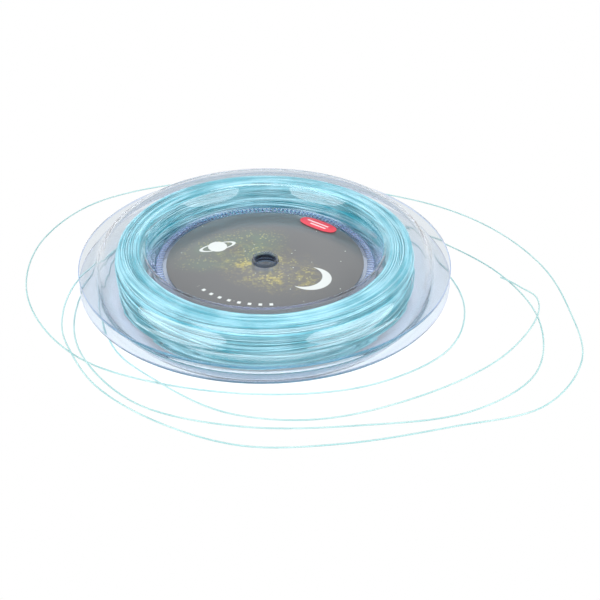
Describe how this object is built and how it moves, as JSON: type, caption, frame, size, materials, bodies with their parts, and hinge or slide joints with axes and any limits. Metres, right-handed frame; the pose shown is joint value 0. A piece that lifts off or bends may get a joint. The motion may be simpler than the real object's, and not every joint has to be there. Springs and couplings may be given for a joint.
{
  "type": "string reel",
  "caption": "Clear plastic reel of aqua racket string between domed shells, with a round label in the sunken hub and a loose string end laid in loops on the table.",
  "frame": {"origin": "on the table under the reel's axis, the middle of the lower shell's bounding box bottom; the loose string isn't counted", "axes": "+Z is the reel's axis and points up out of the labelled side; +X is to the picture's right"},
  "size_m": [0.248, 0.2164, 0.0262],
  "materials": {
    "clear_plastic": "clear injection-moulded, polished",
    "printed_card": "satin printed card",
    "red_film": "satin adhesive film",
    "string": "coated nylon string, soft sheen"
  },
  "bodies": {
    "root": {"upper_shell": "clear_plastic", "lower_shell": "clear_plastic", "label_disc": "printed_card", "oval_sticker": "red_film", "string_core": "string", "string_layer": "string", "loose_string": "string"}
  },
  "joints": []
}
